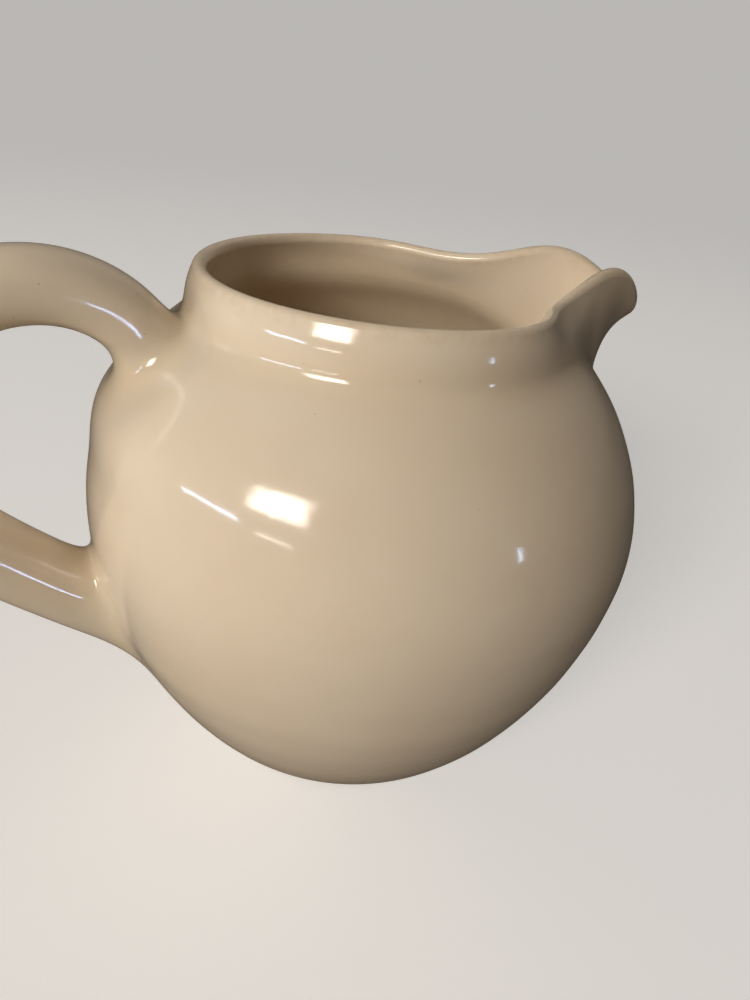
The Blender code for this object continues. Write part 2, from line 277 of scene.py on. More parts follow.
def outline(theta):
    """The outer outline at one angle as (radius, height), and the distance to its joint.

    The belly's curve ends at a root on the shoulder, where the collar or spout wall starts.
    The corner between them is rounded, more under the spout than elsewhere.
    """
    share = spout_share(theta)
    drop = THROAT_DROP * math.exp(-((from_spout(theta) / THROAT_SPREAD) ** 2))
    heights = np.linspace(GLAZE_LINE, CREASE_HEIGHT - drop, OUTLINE_SAMPLES)
    belly = np.stack([belly_radius(heights), heights], 1)
    root, edge = belly[-1], rim_edge(theta)
    pulled = smooth_step(share / COLLAR_ENDS)
    low_pull = (1 / 3 + share * np.array(THROAT_BEND)) * (edge - root)
    high_pull = (1 / 3 + share * np.array(LIP_BEND)) * (edge - root)
    lower = root + pulled * low_pull + (1 - pulled) * np.array(COLLAR_UPRIGHT)
    upper = edge - pulled * high_pull + (1 - pulled) * np.array(COLLAR_LEAN)
    wall = bezier([root, lower, upper, edge], np.linspace(0, 1, OUTLINE_SAMPLES // 4))
    line = np.concatenate([belly, wall[1:]])
    joint, end = lengths(belly)[-1], lengths(line)[-1]
    spots = np.linspace(0, end, OUTLINE_SAMPLES)
    line = along(line, spots)
    soft = soften(line, spots[1], CREASE_SOFTNESS + SPOUT_SOFTNESS * share)
    softer = soften(line, spots[1], BELLY_SOFTNESS)
    near_joint = smooth_step((spots - joint + 5 * BELLY_SOFTNESS) / (3 * BELLY_SOFTNESS))
    line = softer + (soft - softer) * near_joint[:, None]
    line[:, 0] += swelling(theta, line[:, 1])
    return line, joint


def edge_angles(low, high, steps):
    """Angles that divide the rim between two angles into equal lengths."""
    fine = np.linspace(low, high, 600)
    rim = np.array([rim_edge(a) for a in fine])
    line = np.stack([rim[:, 0] * np.cos(fine), rim[:, 0] * np.sin(fine), rim[:, 1]], 1)
    run = lengths(line)
    return np.interp(np.linspace(0, run[-1], steps + 1), run, fine)


def tangents(points, ring):
    """Directions along the first axis of a grid of points.

    Round a ring they are exact for an arc of uneven steps. On an open line each is midway
    between the directions of its two steps.
    """
    if ring:
        after = np.roll(points, -1, axis=0) - points
        before = np.roll(after, 1, axis=0)
        ahead = np.linalg.norm(after, axis=-1, keepdims=True)
        behind = np.linalg.norm(before, axis=-1, keepdims=True)
        return unit(before * ahead / behind + after * behind / ahead)
    steps = unit(np.diff(points, axis=0))
    inside = unit(steps[:-1] + steps[1:])
    first = 2 * steps[:1] - inside[:1]
    last = 2 * steps[-1:] - inside[-1:]
    return unit(np.concatenate([first, inside, last]))


def grid_tangents(points, ring):
    """Directions across the columns and along the rows of a grid of points."""
    return tangents(points, ring), np.swapaxes(tangents(np.swapaxes(points, 0, 1), False), 0, 1)


def vessel_skin():
    """The whole outer skin as a grid [column][row]: angles, points, normals and rising tangents."""
    spout = edge_angles(-SEAM_ANGLE, SEAM_ANGLE, SPOUT_COLUMNS)
    collar = edge_angles(SEAM_ANGLE, 2 * math.pi - SEAM_ANGLE, COLLAR_COLUMNS)
    angles = np.concatenate([spout, collar[1:-1]])
    columns = []
    for theta in angles:
        line, joint = outline(theta)
        below = np.linspace(0, joint, BELLY_ROWS + 1)
        above = np.linspace(joint, lengths(line)[-1], RIM_ROWS + 1)
        flat = along(line, np.concatenate([below, above[1:]]))
        turned = [flat[:, 0] * math.cos(theta), flat[:, 0] * math.sin(theta), flat[:, 1]]
        columns.append(np.stack(turned, 1))
    points = np.array(columns)
    around, rise = grid_tangents(points, ring=True)
    return angles, points, unit(np.cross(around, rise)), rise


# ---------------------------------------------------------------- distances, and the melted roots


def make_profile_tables():
    """The outline away from the spout as tables by height: its radius and a softened slope."""
    line, _ = outline(math.pi)
    radius = line[:, 0] - swelling(math.pi, line[:, 1])
    heights = np.linspace(line[0, 1], line[-1, 1], OUTLINE_SAMPLES)
    radii = np.interp(heights, line[:, 1], radius)
    step = heights[1] - heights[0]
    slope = np.gradient(radii, step)
    facing = soften(np.stack([1 / np.hypot(1, slope)], 1), step, BELLY_SOFTNESS)[:, 0]
    return heights, radii, facing


PROFILE_HEIGHTS, PROFILE_RADII, PROFILE_FACING = make_profile_tables()


def body(points):
    """Distance of points outside the vessel's skin, on the handle's side."""
    x, y, z = np.moveaxis(points, -1, 0)
    radius = np.interp(z, PROFILE_HEIGHTS, PROFILE_RADII) + swelling(np.arctan2(y, x), z)
    return (np.hypot(x, y) - radius) * np.interp(z, PROFILE_HEIGHTS, PROFILE_FACING)


def handle_controls():
    """Control points of the handle's upper and lower halves, as (x, z)."""
    top, out, low = (np.array(p) for p in (HANDLE_TOP, HANDLE_OUT, HANDLE_LOW))
    leave = np.array([math.cos(HANDLE_TOP_ANGLE), math.sin(HANDLE_TOP_ANGLE)])
    arrive = np.array([math.cos(HANDLE_LOW_ANGLE), math.sin(HANDLE_LOW_ANGLE)])
    up = np.array([0.0, 1.0])
    a, b, c, d = HANDLE_PULLS
    upper = np.array([top, top + leave * a, out + up * b, out])
    lower = np.array([out, out - up * c, low + arrive * d, low])
    return [half * (-1, 1) for half in (upper, lower)]


CONTROLS = handle_controls()


def centreline(t):
    """The handle's centre and its two first derivatives: t is 0 to 1 above, 1 to 2 below.

    Past t = 2 it runs on straight, into the belly.
    """
    t = np.asarray(t, float)
    lower = (t > 1)[..., None]
    points = [np.where(lower, two, one) for one, two in zip(*CONTROLS)]
    t = np.where(t > 1, t - 1, t)[..., None]
    beyond = np.maximum(t - 1, 0)
    t = np.minimum(t, 1)
    a, b, c, d = points
    centre = a * (1 - t) ** 3 + 3 * b * t * (1 - t) ** 2 + 3 * c * t * t * (1 - t) + d * t**3
    first = 3 * ((b - a) * (1 - t) ** 2 + 2 * (c - b) * t * (1 - t) + (d - c) * t * t)
    second = 6 * ((a - 2 * b + c) * (1 - t) + (b - 2 * c + d) * t)
    return centre + beyond * first, first, np.where(beyond > 0, 0.0, second)


def section_at(t):
    """Half thickness and half width of the handle at t."""
    share = np.asarray(t, float) / 2
    parts = ((1 - share) * (1 - 2 * share), 4 * share * (1 - share), share * (2 * share - 1))
    return [sum(part * size for part, size in zip(parts, sizes)) for sizes in (THICK, WIDE)]


def roundness(across, wide):
    """The superellipse norm that is 1 on the handle's skin."""
    power = SECTION_POWER
    return np.maximum((np.abs(across) ** power + np.abs(wide) ** power) ** (1 / power), 1e-6)


def tube_points(t, turn):
    """Points on the handle's skin at t and at a turn, which is 0 on the loop's outer side."""
    centre, first, _ = centreline(t)
    ahead = unit(first)
    thick, wide = section_at(t)
    out, side = np.cos(turn), np.sin(turn)
    reach = 1 / roundness(out / thick, side / wide)
    x = centre[..., 0] + ahead[..., 1] * out * reach
    z = centre[..., 1] - ahead[..., 0] * out * reach
    return np.stack(np.broadcast_arrays(x, side * reach, z), -1)


def nearest_t(points, low, high):
    """Where on the centreline, between two values of t, each point is nearest."""
    guesses = np.linspace(low, high, 60)
    line, _, _ = centreline(guesses)
    flat = points[..., (0, 2)]
    apart = np.linalg.norm(flat[..., None, :] - line, axis=-1)
    t = guesses[np.argmin(apart, axis=-1)]
    for _ in range(5):
        centre, first, second = centreline(t)
        off = centre - flat
        pull = (off * first).sum(-1)
        t = t - pull / np.maximum((first**2).sum(-1) + (off * second).sum(-1), 1e-7)
        t = np.clip(t, low, high)
    return t


class Root:
    """One end of the handle: where it is, and how it melts into the vessel.

    The handle is inside the vessel at the t called inside, clear of it at the t called clear,
    and passes through the middle of the root at the t called middle.
    """

    def __init__(self, inside, middle, clear, melt):
        self.inside = inside
        self.middle = middle
        self.clear = clear
        self.melt = melt

    def tube(self, points):
        """Distance of points outside the handle's skin, and how far they face its outer side."""
        # Each root looks along its own half of the handle, which ends at t = 1
        low, high = sorted((self.inside, 1.0))
        t = nearest_t(points, low, high)
        centre, first, _ = centreline(t)
        ahead = unit(first)
        off = points[..., (0, 2)] - centre
        out = off[..., 0] * ahead[..., 1] - off[..., 1] * ahead[..., 0]
        thick, wide = section_at(t)
        reach = np.hypot(out, points[..., 1])
        distance = reach * (1 - 1 / roundness(out / thick, points[..., 1] / wide))
        return distance, out / np.maximum(reach, 1e-6)

    def melt_at(self, outward):
        """How far the corner melts, for points that face outward this much."""
        outer, beside, inner = self.melt
        ends = outer * (1 + outward) / 2 + inner * (1 - outward) / 2
        return beside * (1 - outward**2) + ends * outward**2

    def measures(self, points):
        """How far points are outside the vessel and the handle, the melt there, and the overlap.

        The overlap is how deep points are in the melted corner: 0 outside it, 1 in its middle.
        """
        tube, outward = self.tube(points)
        vessel, reach = body(points), self.melt_at(outward)
        return vessel, tube, reach, np.maximum(1 - np.abs(vessel - tube) / reach, 0)

    def overlap(self, points):
        """How deep points are in the melted corner."""
        return self.measures(points)[-1]

    def skin(self, points):
        """Distance to the vessel and handle with the corner between them filled smoothly."""
        vessel, tube, reach, overlap = self.measures(points)
        return np.minimum(vessel, tube) - overlap**3 * reach / 6


UPPER = Root(inside=-0.45, middle=0.0, clear=0.8, melt=UPPER_MELT)
LOWER = Root(inside=2.90, middle=2.35, clear=1.2, melt=LOWER_MELT)


def gradient(field, points):
    """The gradient of a distance field, by central differences."""
    step = 0.1 * MM
    moves = np.eye(3) * step
    return np.stack([field(points + m) - field(points - m) for m in moves], -1) / (2 * step)


def settle(points, field, rounds=7):
    """Moves points along a field's gradient until they lie on its zero surface."""
    for _ in range(rounds):
        slope = gradient(field, points)
        steep = (slope**2).sum(-1, keepdims=True)
        points = points - field(points)[..., None] * slope / steep
    return points


def crossing(measure, start, end, level):
    """Where a measure that grows from start to end reaches a level, for each entry."""
    for _ in range(30):
        middle = (start + end) / 2
        short = measure(middle) < level
        start = np.where(short, middle, start)
        end = np.where(short, end, middle)
    return (start + end) / 2


TURNS = np.linspace(0, 2 * math.pi, HANDLE_COLUMNS, endpoint=False)


def root_t(root, level):
    """For each turn round the handle, the t where its skin is this far outside the vessel."""
    inside, clear = (np.full(HANDLE_COLUMNS, t) for t in (root.inside, root.clear))
    return crossing(lambda t: body(tube_points(t, TURNS)), inside, clear, level)


# ---------------------------------------------------------------- the maker's unevenness

# Each ripple is a wave vector in radians per metre, a depth and a phase
RIPPLES = (
    ((0, 0, 520), 0.020 * MM, 0.4),
    ((18, -11, 370), 0.018 * MM, 1.9),
    ((0, 0, 205), 0.040 * MM, 4.1),
    ((62, 35, 48), 0.055 * MM, 2.2),
    ((-40, 71, 33), 0.050 * MM, 5.0),
    ((85, -58, 96), 0.025 * MM, 0.9),
)


def ripple(points, normals):
    """Moves a skin in and out by the marks of hand throwing, and tilts its normals to match."""
    height = np.zeros(points.shape[:-1])
    tilt = np.zeros(points.shape)
    for wave, depth, phase in RIPPLES:
        wave = np.array(wave, float)
        turn = points @ wave + phase
        height += depth * np.sin(turn)
        tilt += depth * np.cos(turn)[..., None] * wave
    flat = tilt - (tilt * normals).sum(-1, keepdims=True) * normals
    return points + normals * height[..., None], unit(normals - flat)


# ---------------------------------------------------------------- meshes


def signed_volume(points, faces):
    """Six times the volume inside faces, negative when they face inward."""
    total = 0.0
    for k in range(1, faces.shape[1] - 1):
        a, b, c = (points[faces[:, i]] for i in (0, k, k + 1))
        total += (a * np.cross(b, c)).sum()
    return total


def flat_normals(points, faces):
    """Each face's own normal, repeated for its corners."""
    a, b, c, d = (points[faces[:, i]] for i in (0, 1, -2, -1))
    across = np.cross(c - a, d - b) if faces.shape[1] == 4 else np.cross(b - a, d - a)
    return np.repeat(unit(across)[:, None], faces.shape[1], axis=1)


def grid_faces(columns, rows, ring, closed):
    """Quads over a grid of points, with the row band that each one is in."""
    index = np.arange(columns * rows).reshape(columns, rows)
    right = np.roll(index, -1, axis=0)
    quads = np.stack([index, right, np.roll(right, -1, 1), np.roll(index, -1, 1)], -1)
    bands = np.broadcast_to(np.arange(rows), (columns, rows))
    across = slice(None) if ring else slice(0, -1)
    upward = slice(None) if closed else slice(0, -1)
    return quads[across, upward].reshape(-1, 4), bands[across, upward].reshape(-1)


def pole_faces(columns, rows):
    """Triangles that close an open grid's first and last rows onto two added points."""
    index = np.arange(columns * rows).reshape(columns, rows)
    right = np.roll(index, -1, axis=0)
    low = np.full(columns, columns * rows)
    first = np.stack([right[:, 0], index[:, 0], low], -1)
    last = np.stack([index[:, -1], right[:, -1], low + 1], -1)
    return np.concatenate([first, last])


def cap_faces(columns, rows):
    """Quads across the section at an open grid's first and last columns."""
    index = np.arange(columns * rows).reshape(columns, rows)
    first, last = index[0], index[-1]
    half = np.arange(rows // 2 - 1)
    ends = []
    for loop, order in ((first, (0, 1, 2, 3)), (last, (3, 2, 1, 0))):
        corners = [loop[half], loop[half + 1], loop[rows - 2 - half], loop[rows - 1 - half]]
        ends.append(np.stack([corners[k] for k in order], -1))
    return np.concatenate(ends)


def add_piece(name, points, normals, pool_and_shade, thin, layout, hard, finish):
    """Makes one closed mesh from a grid of points [column][row], with its own normals.

    The layout is "spindle" (columns round a ring, poles at both row ends), "ring" (columns
    and rows both meet) or "bar" (rows meet, columns end in caps). hard lists row bands that
    are faceted. The first glaze mark says where the glaze pools and where shade is painted,
    the second where it runs thin, point by point.
    """
    columns, rows = points.shape[:2]
    spots, facing = points.reshape(-1, 3), normals.reshape(-1, 3)
    pool_and_shade, thin = pool_and_shade.reshape(-1), thin.reshape(-1)
    quads, bands = grid_faces(columns, rows, ring=layout != "bar", closed=layout != "spindle")
    extra = np.zeros((0, 3), int)
    if layout == "spindle":
        spots = np.concatenate([spots, points[:, 0].mean(0)[None], points[:, -1].mean(0)[None]])
        ends = unit(np.stack([normals[:, 0].mean(0), normals[:, -1].mean(0)]))
        facing = np.concatenate([facing, ends])
        pool_and_shade, thin = np.append(pool_and_shade, [0, 0]), np.append(thin, [0, 0])
        extra = pole_faces(columns, rows)
    corners = facing[quads]
    faceted = np.isin(bands, hard)
    corners[faceted] = flat_normals(spots, quads[faceted])
    if layout == "bar":
        caps = cap_faces(columns, rows)
        corners = np.concatenate([corners, flat_normals(spots, caps)])
        quads = np.concatenate([quads, caps])
    if signed_volume(spots, quads) + signed_volume(spots, extra) < 0:
        raise ValueError(f"{name} is inside out")
    mesh = bpy.data.meshes.new(name)
    mesh.from_pydata(spots.tolist(), [], quads.tolist() + extra.tolist())
    mesh.shade_smooth()
    corners = np.concatenate([corners.reshape(-1, 3), facing[extra].reshape(-1, 3)])
    mesh.normals_split_custom_set(corners.tolist())
    for label, values in (("pool_and_shade", pool_and_shade), ("thin", thin)):
        layer = mesh.attributes.new(label, "FLOAT", "POINT")
        layer.data.foreach_set("value", values.astype(np.float32))
    made = bpy.data.objects.new(name, mesh)
    bpy.context.scene.collection.objects.link(made)
    made.data.materials.append(finish["material"])
    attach(made, "root")
    PIECES.append(made)
    return made


# ---------------------------------------------------------------- the pieces


def melted_normals(points, normals):
    """Normals of the melted skin, for points of the vessel or handle that are near a root."""
    flat, facing = points.reshape(-1, 3), normals.reshape(-1, 3).copy()
    pool_and_shade = np.zeros(len(flat))
    for root in (UPPER, LOWER):
        centre, _, _ = centreline(root.middle)
        away = np.linalg.norm(flat - (centre[0], 0, centre[1]), axis=-1)
        near = np.flatnonzero(away < ROOT_SPAN)
        depth = root.overlap(flat[near])
        touched = near[depth > 0]
        # Depth in the melted corner: pooled glaze, and painted shade in the corner between handle
        # and vessel
        pool_and_shade[touched] = np.maximum(pool_and_shade[touched], depth[depth > 0])
        facing[touched] = unit(gradient(root.skin, flat[touched]))
    return facing.reshape(normals.shape), pool_and_shade.reshape(points.shape[:-1])


def distance_from_row(points, row):
    """Distance along each column of a grid from one of its rows."""
    steps = np.linalg.norm(np.diff(points, axis=1), axis=-1)
    run = np.concatenate([np.zeros((len(points), 1)), np.cumsum(steps, axis=1)], axis=1)
    return np.abs(run - run[:, row][:, None])


class Vessel:
    """The vessel's skins as grids of the same columns, from which its pieces are cut."""

    def __init__(self):
        self.angles, self.outer, self.outer_normals, self.rise = vessel_skin()
        self.shares = np.array([spout_share(a) for a in self.angles])[:, None]
        self.inner = self.make_inner()
        around, fall = grid_tangents(self.inner, ring=True)
        self.inner_normals = unit(np.cross(around, fall))
        self.outer_normals, roots = melted_normals(self.outer, self.outer_normals)
        # Glaze pooled in the crease and at the handle's roots, with painted shade there
        crease = np.exp(-((distance_from_row(self.outer, BELLY_ROWS) / CREASE_POOL_AND_SHADE) ** 2))
        self.outer_pool_and_shade = np.maximum(0.7 * crease, roots)
        self.outer_thin = smooth_step(1 - distance_from_row(self.outer, -1) / THIN_EDGE)

    def make_inner(self):
        """The inner skin from the rim's edge down to a coved floor and in to the axis."""
        rows = np.linspace(0, 1, RIM_ROWS + 1)
        tip = RIM_WALL + (TIP_WALL - RIM_WALL) * self.shares
        rim = RIM_WALL + (tip - RIM_WALL) * rows
        belly = np.linspace(WALL, RIM_WALL, BELLY_ROWS + 1)[:-1]
        wall = np.concatenate([np.broadcast_to(belly, (len(rim), BELLY_ROWS)), rim], axis=1)
        offset = self.outer - self.outer_normals * wall[..., None]
        lines = []
        for column in offset:
            upper = column[: BELLY_ROWS - 1 : -1]
            lines.append(np.concatenate([upper, self.belly_inside(column[BELLY_ROWS::-1])[1:]]))
        return np.array(lines)

    def belly_inside(self, line):
        """One inner line from the joint to the axis, with the corner at the floor coved."""
        walls = line[line[:, 2] > FLOOR_HEIGHT]
        nearest = walls[-1] * (1, 1, 0) + (0, 0, FLOOR_HEIGHT)
        whole = np.concatenate([walls, [nearest, (0, 0, FLOOR_HEIGHT)]])
        spots = np.linspace(0, lengths(whole)[-1], OUTLINE_SAMPLES)
        whole = along(whole, spots)
        coved = soften(whole, spots[1], FLOOR_COVE)
        low = smooth_step((COVE_TOP - whole[:, 2]) / COVE_BLEND)[:, None]
        whole = whole + (coved - whole) * low
        return along(whole, np.linspace(0, lengths(whole)[-1], INNER_ROWS + 1)[:-1])

    def lip(self):
        """The half-round rim between the two skins: its points and normals."""
        start, end = self.outer[:, -1], self.inner[:, 0]
        facing, rise = self.outer_normals[:, -1], self.rise[:, -1]
        middle = (start + end) / 2
        half = np.linalg.norm(start - end, axis=-1)[:, None] / 2
        turns = np.linspace(0, math.pi, LIP_ROWS + 1)[1:-1]
        normals = np.stack([facing * math.cos(a) + rise * math.sin(a) for a in turns], 1)
        return middle[:, None] + normals * half[:, None], normals


def make_rim_piece(vessel, name, columns):
    """A part of the rim wall between two columns of the vessel: outer skin, lip, inner skin."""
    lip, lip_normals = vessel.lip()
    outer = slice(BELLY_ROWS, None)
    inner = slice(0, RIM_ROWS + 1)
    points = np.concatenate([vessel.outer[:, outer], lip, vessel.inner[:, inner]], axis=1)
    normals = [vessel.outer_normals[:, outer], lip_normals, vessel.inner_normals[:, inner]]
    normals = np.concatenate(normals, axis=1)
    thin = vessel.outer_thin[:, outer]
    thin = np.concatenate([thin, np.ones(lip.shape[:2]), thin[:, ::-1]], axis=1)
    # Pooled glaze and painted shade of the crease, and half of it mirrored onto the inner skin
    pool_and_shade = vessel.outer_pool_and_shade[:, outer]
    pool_and_shade = np.concatenate([pool_and_shade, np.zeros(lip.shape[:2]), 0.5 * pool_and_shade[:, ::-1]], axis=1)
    points, normals = ripple(points[columns], normals[columns])
    rows = points.shape[1]
    made = add_piece(
        name, points, normals, pool_and_shade[columns], thin[columns], "bar", [rows - 1], GLAZE
    )
    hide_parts(name)


def make_belly(vessel):
    """The glazed pot below the joint, with its floor, down to a beaded edge of glaze."""
    ring = np.stack([np.cos(vessel.angles), np.sin(vessel.angles), 0 * vessel.angles], 1)
    up = np.array([0, 0, 1.0])
    spigot_top = FLOOR_HEIGHT - FLOOR_SKIN
    edge = vessel.outer[:, 0] * (1, 1, 0)
    under = [ring * SPIGOT_RADIUS + up * spigot_top, ring * SPIGOT_RADIUS + up * GLAZE_LINE]
    under.append(edge - BEAD_INSET * ring + up * GLAZE_LINE)
    under = np.stack(under, 1)
    facing, rise = vessel.outer_normals[:, 0], vessel.rise[:, 0]
    centre = vessel.outer[:, 0] - facing * GLAZE_BEAD
    turns = np.linspace(0, math.pi / 2, 6)[:-1]
    bead_normals = np.stack([facing * math.sin(a) - rise * math.cos(a) for a in turns], 1)
    bead = centre[:, None] + bead_normals * GLAZE_BEAD
    outer = slice(0, BELLY_ROWS + 1)
    inner = slice(RIM_ROWS, None)
    points = np.concatenate([under, bead, vessel.outer[:, outer], vessel.inner[:, inner]], axis=1)
    down = np.broadcast_to(-up, under.shape)
    normals = [down, bead_normals, vessel.outer_normals[:, outer], vessel.inner_normals[:, inner]]
    points, normals = ripple(points, np.concatenate(normals, axis=1))
    columns, rows = points.shape[:2]
    bottom = under.shape[1] + bead.shape[1]
    joint = bottom + BELLY_ROWS
    pool_and_shade = np.zeros((columns, rows))
    pool_and_shade[:, bottom : joint + 1] = vessel.outer_pool_and_shade[:, outer]
    # Painted shade inside the pot, darker the deeper down it is, with pooled glaze on its floor
    pool_and_shade[:, joint + 1 :] = np.linspace(0.2, 0.9, rows - joint - 1)
    hard = [0, 1, 2, joint]
    thin = np.zeros((columns, rows))
    made = add_piece("belly", points, normals, pool_and_shade, thin, "spindle", hard, GLAZE)
    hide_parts("belly")


def make_foot(vessel):
    """The bare clay disc that the pot stands on, a little hollow beneath."""
    radius = np.hypot(*vessel.outer[:, 0, :2].T).mean() - BEAD_INSET
    low = radius - GLAZE_LINE * 0.75
    centre = np.array([low - FOOT_ROUND, FOOT_ROUND])
    turns = np.linspace(-math.pi / 2, math.radians(-25), 9)
    toe = [centre + FOOT_ROUND * np.array([math.cos(a), math.sin(a)]) for a in turns]
    radii = np.linspace(AXIS_GAP, low - FOOT_RING - 0.5 * MM, 60)
    groove = GROOVE_DEPTH * (1 - np.cos(radii / GROOVE_RADIAN)) / 2
    hollow = BASE_HOLLOW * smooth_step((low - FOOT_RING - radii) / (2 * FOOT_RING))
    base = np.stack([radii, hollow + groove], 1)
    top = FLOOR_HEIGHT - FLOOR_SKIN
    side = [(radius, GLAZE_LINE), (SPIGOT_RADIUS, GLAZE_LINE), (SPIGOT_RADIUS, top), (AXIS_GAP, top)]
    profile = np.concatenate([base, toe, side])
    turned = np.linspace(0, 2 * math.pi, 180, endpoint=False)
    ring = np.stack([np.cos(turned), np.sin(turned)], 1)
    flat = ring[:, None] * profile[None, :, :1]
    height = np.broadcast_to(profile[:, 1:], (*flat.shape[:2], 1))
    points = np.concatenate([flat, height], axis=-1)
    around, out = grid_tangents(points, ring=True)
    normals = unit(np.cross(around, out))
    count = len(profile)
    hard = list(range(count - 5, count))
    none = np.zeros(points.shape[:2])
    made = add_piece("foot_disc", points, normals, none, none, "spindle", hard, CLAY)
    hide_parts("foot_disc")


def make_handle():
    """The pulled handle, cut at each end where it meets the vessel."""
    shares = np.linspace(0, 1, HANDLE_ROWS + 1)
    start, end = root_t(UPPER, 0.0), root_t(LOWER, 0.0)
    t = start[:, None] + (end - start)[:, None] * shares
    points = tube_points(t, TURNS[:, None])
    around, ahead = grid_tangents(points, ring=True)
    # The second value is pooled glaze and painted shade near the roots
    normals, pool_and_shade = melted_normals(points, unit(np.cross(around, ahead)))
    ends = []
    for ring in (points[:, :1], points[:, -1:]):
        centre = ring.mean(axis=0, keepdims=True)
        ends.append(settle(centre + (ring - centre) * np.array([0.3, 0.65])[:, None], body))
    count = points.shape[1]
    points, normals = ripple(points, normals)
    points = np.concatenate([ends[0], points, ends[1][:, ::-1]], axis=1)
    blank = np.zeros((HANDLE_COLUMNS, 2))
    still = np.broadcast_to([1.0, 0.0, 0.0], (HANDLE_COLUMNS, 2, 3))
    normals = np.concatenate([still, normals, still], axis=1)
    pool_and_shade = np.concatenate([blank, pool_and_shade, blank], axis=1)
    hard = [0, 1, count + 1, count + 2]
    thin = np.zeros_like(pool_and_shade)
    made = add_piece("handle", points, normals, pool_and_shade, thin, "spindle", hard, GLAZE)
    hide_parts("handle")


def even_rows(points, rows):
    """The same lines with their points spaced evenly."""
    return np.array([along(line, np.linspace(0, lengths(line)[-1], rows)) for line in points])


def pad_foot(root, corner):
    """The ring on the vessel where a pad ends, once it has covered its share of the melt."""
    centre = corner.mean(axis=0)
    away = unit(corner - centre)

    def on_vessel(spread):
        return settle(centre + away * spread[:, None], body)

    def openness(spread):
        distance, outward = root.tube(on_vessel(spread))
        return distance / root.melt_at(outward)

    near = np.linalg.norm(corner - centre, axis=-1)
    return on_vessel(crossing(openness, near, near + PAD_REACH, MELT_CUT))


def pad_back(corner_t, top_t, corner, foot):
    """The hidden rows of a pad: back from its foot inside the belly, then up inside the handle."""
    shares = np.linspace(0, 1, 8)[1:-1]
    below = foot[:, None] + (corner - foot)[:, None] * shares[:, None]
    below = settle(below, lambda points: body(points) + PAD_SINK)
    along_t = corner_t[:, None] + (top_t - corner_t)[:, None] * np.append(0, shares)
    behind = tube_points(along_t, TURNS[:, None])
    middle, _, _ = centreline(along_t)
    inward = np.stack([middle[..., 0], 0 * along_t, middle[..., 1]], -1) - behind
    return np.concatenate([below, behind + unit(inward) * PAD_SINK], axis=1)


def make_pad(name, root):
    """The clay melted round a root: a smooth corner between the handle and the vessel."""
    top_t, corner_t = root_t(root, MELT_CUT * root.melt_at(np.cos(TURNS))), root_t(root, 0.0)
    top, corner = tube_points(top_t, TURNS), tube_points(corner_t, TURNS)
    foot = pad_foot(root, corner)
    steps = np.linspace(0, 1, PAD_ROWS + 1)
    skin = np.array([bezier(three, steps) for three in zip(top, corner, foot)])
    skin = settle(even_rows(settle(skin, root.skin), PAD_ROWS + 1), root.skin)
    hidden = pad_back(corner_t, top_t, corner, foot)
    if root is UPPER:
        skin, hidden = skin[:, ::-1], hidden[:, ::-1]
    # The second value is pooled glaze and painted shade in the melted corner
    normals, pool_and_shade = melted_normals(skin, np.zeros_like(skin))
    skin, normals = ripple(skin, normals)
    points = np.concatenate([skin, hidden], axis=1)
    still = np.broadcast_to([1.0, 0.0, 0.0], hidden.shape)
    normals = np.concatenate([normals, still], axis=1)
    pool_and_shade = np.concatenate([pool_and_shade, np.zeros(hidden.shape[:2])], axis=1)
    hard = list(range(PAD_ROWS, points.shape[1]))
    made = add_piece(name, points, normals, pool_and_shade, np.zeros_like(pool_and_shade), "ring", hard, GLAZE)
    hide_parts(name)


# ---------------------------------------------------------------- materials


class Nodes:
    """A short way to build the node tree of a material, a light or a world."""

    def __init__(self, owner):
        owner.use_nodes = True
        self.tree = owner.node_tree

    def add(self, kind, inputs=None, **settings):
        node = self.tree.nodes.new(kind)
        for key, value in settings.items():
            setattr(node, key, value)
        for key, value in (inputs or {}).items():
            self.put(node.inputs[key], value)
        return node

    def put(self, socket, value):
        """Links a socket to another node's output, or sets its value."""
        if isinstance(value, bpy.types.NodeSocket):
            self.tree.links.new(value, socket)
        else:
            socket.default_value = value

    def math(self, operation, one, two):
        return self.add("ShaderNodeMath", {0: one, 1: two}, operation=operation).outputs[0]

    def remap(self, value, low, high, to_low=0.0, to_high=1.0, **settings):
        inputs = {"Value": value, "From Min": low, "From Max": high}
        inputs.update({"To Min": to_low, "To Max": to_high})
        return self.add("ShaderNodeMapRange", inputs, **settings).outputs["Result"]


class Surface(Nodes):
    """A new material, and short ways to give it texture."""

    def __init__(self, name):
        self.material = bpy.data.materials.new(name)
        super().__init__(self.material)
        self.place = self.add("ShaderNodeTexCoord").outputs["Object"]

    def noise(self, scale, detail=2.0, roughness=0.5):
        inputs = {"Vector": self.place, "Scale": scale, "Detail": detail}
        inputs["Roughness"] = roughness
        return self.add("ShaderNodeTexNoise", inputs).outputs["Fac"]

    def attribute(self, name):
        return self.add("ShaderNodeAttribute", attribute_name=name).outputs["Fac"]

    def mix(self, share, one, two):
        node = self.add("ShaderNodeMix", {0: share, 6: one, 7: two}, data_type="RGBA")
        return node.outputs[2]

    def bump(self, height, strength, distance, normal=None):
        inputs = {"Height": height, "Strength": strength, "Distance": distance}
        if normal is not None:
            inputs["Normal"] = normal
        return self.add("ShaderNodeBump", inputs).outputs["Normal"]

    def finish(self, **inputs):
        """Sets the inputs of the material's shader, named with _ for each space."""
        shader = self.tree.nodes["Principled BSDF"]
        for key, value in inputs.items():
            self.put(shader.inputs[key.replace("_", " ")], value)
        return self.material


def colour(red, green, blue):
    """An opaque colour for a node's socket."""
    return (red, green, blue, 1.0)


